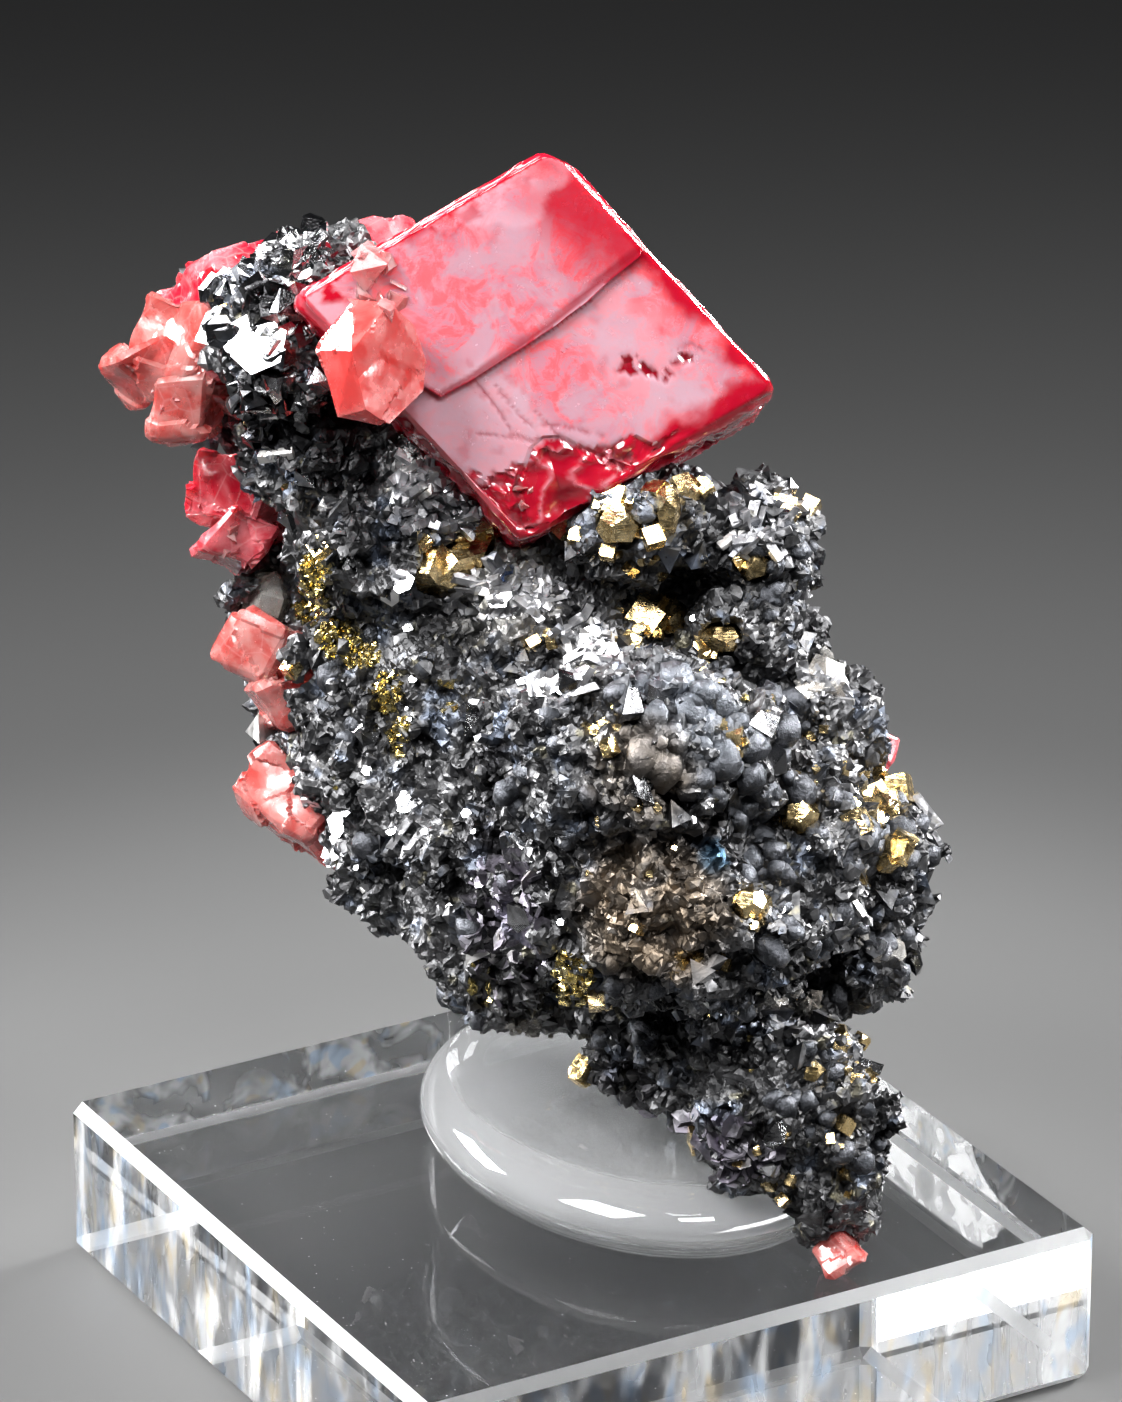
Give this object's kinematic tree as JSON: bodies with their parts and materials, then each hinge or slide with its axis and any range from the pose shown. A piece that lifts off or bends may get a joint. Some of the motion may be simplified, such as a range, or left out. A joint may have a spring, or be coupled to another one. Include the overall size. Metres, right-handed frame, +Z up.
{
  "type": "rhodochrosite with tetrahedrite specimen on a clear stand",
  "caption": "Red rhombohedral rhodochrosite crystals on a dark metallic tetrahedrite matrix with brassy pyrite, resting on a clear acrylic slab with an oval cushion.",
  "frame": {"origin": "centre of the slab's underside", "axes": "+Z is up; the slab's sides run along X and Y; the display side faces -Y and a little -X"},
  "size_m": [0.057, 0.0682, 0.091],
  "materials": {
    "acrylic": "polished",
    "tetrahedrite": "satin",
    "rhodochrosite": "gloss",
    "pyrite": "gloss",
    "quartz": "gloss"
  },
  "bodies": {
    "root": {"acrylic_slab": "acrylic", "acrylic_cushion": "acrylic", "tetrahedrite_matrix": "tetrahedrite", "rhodochrosite_main": "rhodochrosite", "rhodochrosite_small_gem": "rhodochrosite", "rhodochrosite_rear": "rhodochrosite", "rhodochrosite_left_cluster": "rhodochrosite", "rhodochrosite_left_upper": "rhodochrosite", "rhodochrosite_left_middle": "rhodochrosite", "rhodochrosite_left_lower": "rhodochrosite", "rhodochrosite_back_right": "rhodochrosite", "rhodochrosite_foot": "rhodochrosite", "pyrite_striated": "pyrite", "pyrite_dome_left": "pyrite", "pyrite_dome_right": "pyrite", "pyrite_centre": "pyrite", "pyrite_right": "pyrite", "pyrite_ledge": "pyrite", "pyrite_near_right": "pyrite", "pyrite_near_low": "pyrite", "pyrite_right_lump": "pyrite", "quartz_upper_left": "quartz", "quartz_left": "quartz", "quartz_right": "quartz"}
  },
  "joints": []
}
